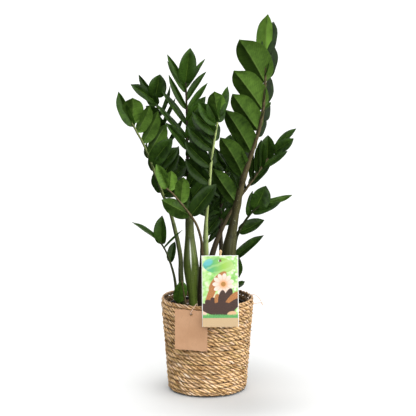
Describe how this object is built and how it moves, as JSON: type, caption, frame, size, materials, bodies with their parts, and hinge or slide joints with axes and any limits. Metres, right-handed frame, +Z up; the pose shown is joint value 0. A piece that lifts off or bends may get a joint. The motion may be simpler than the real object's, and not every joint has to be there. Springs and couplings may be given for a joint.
{
  "type": "zz plant in a basket",
  "caption": "Potted ZZ plant with upright glossy feather-like leaves, standing in a round woven rope basket with two hang tags.",
  "frame": {"origin": "centre of the basket's flat base, on the surface it stands on", "axes": "+Z up along the basket's axis; -Y towards the side with the two hang tags; +X towards the side with the tallest leaf"},
  "size_m": [0.35, 0.2132, 0.7428],
  "materials": {
    "seagrass": "woven seagrass rope, matte",
    "liner_film": "thin film, satin",
    "pot_plastic": "satin black",
    "potting_mix": "loose damp soil, matte",
    "rhizome_skin": "dry skin, matte",
    "leaf_green": "waxy gloss",
    "stem_green": "smooth satin with fine flecks",
    "printed_card": "coated print, semi-gloss",
    "kraft_card": "uncoated, matte",
    "bamboo": "sanded, matte",
    "raffia": "twisted paper string, matte"
  },
  "bodies": {
    "root": {"basket": "seagrass", "liner": "liner_film", "nursery_pot": "pot_plastic", "soil": "potting_mix", "rhizome_right": "rhizome_skin", "rhizome_middle": "rhizome_skin", "rhizome_back": "rhizome_skin", "rhizome_left": "rhizome_skin", "leaf_tall_right": "leaf_green", "leaf_center_pale": "leaf_green", "leaf_far_left": "leaf_green", "leaf_back_center": "leaf_green", "leaf_back_left": "leaf_green", "leaf_right_middle": "leaf_green", "leaf_right_low": "leaf_green", "leaf_back_middle": "leaf_green", "leaf_front_brown": "leaf_green", "leaf_left_sprout": "leaf_green", "leaf_front_small": "leaf_green", "care_tag": "printed_card", "kraft_tag": "kraft_card", "tag_stick": "bamboo", "rim_string": "raffia", "rim_string_knot": "raffia", "kraft_tag_string": "raffia", "kraft_tag_string_knot": "raffia"}
  },
  "joints": []
}
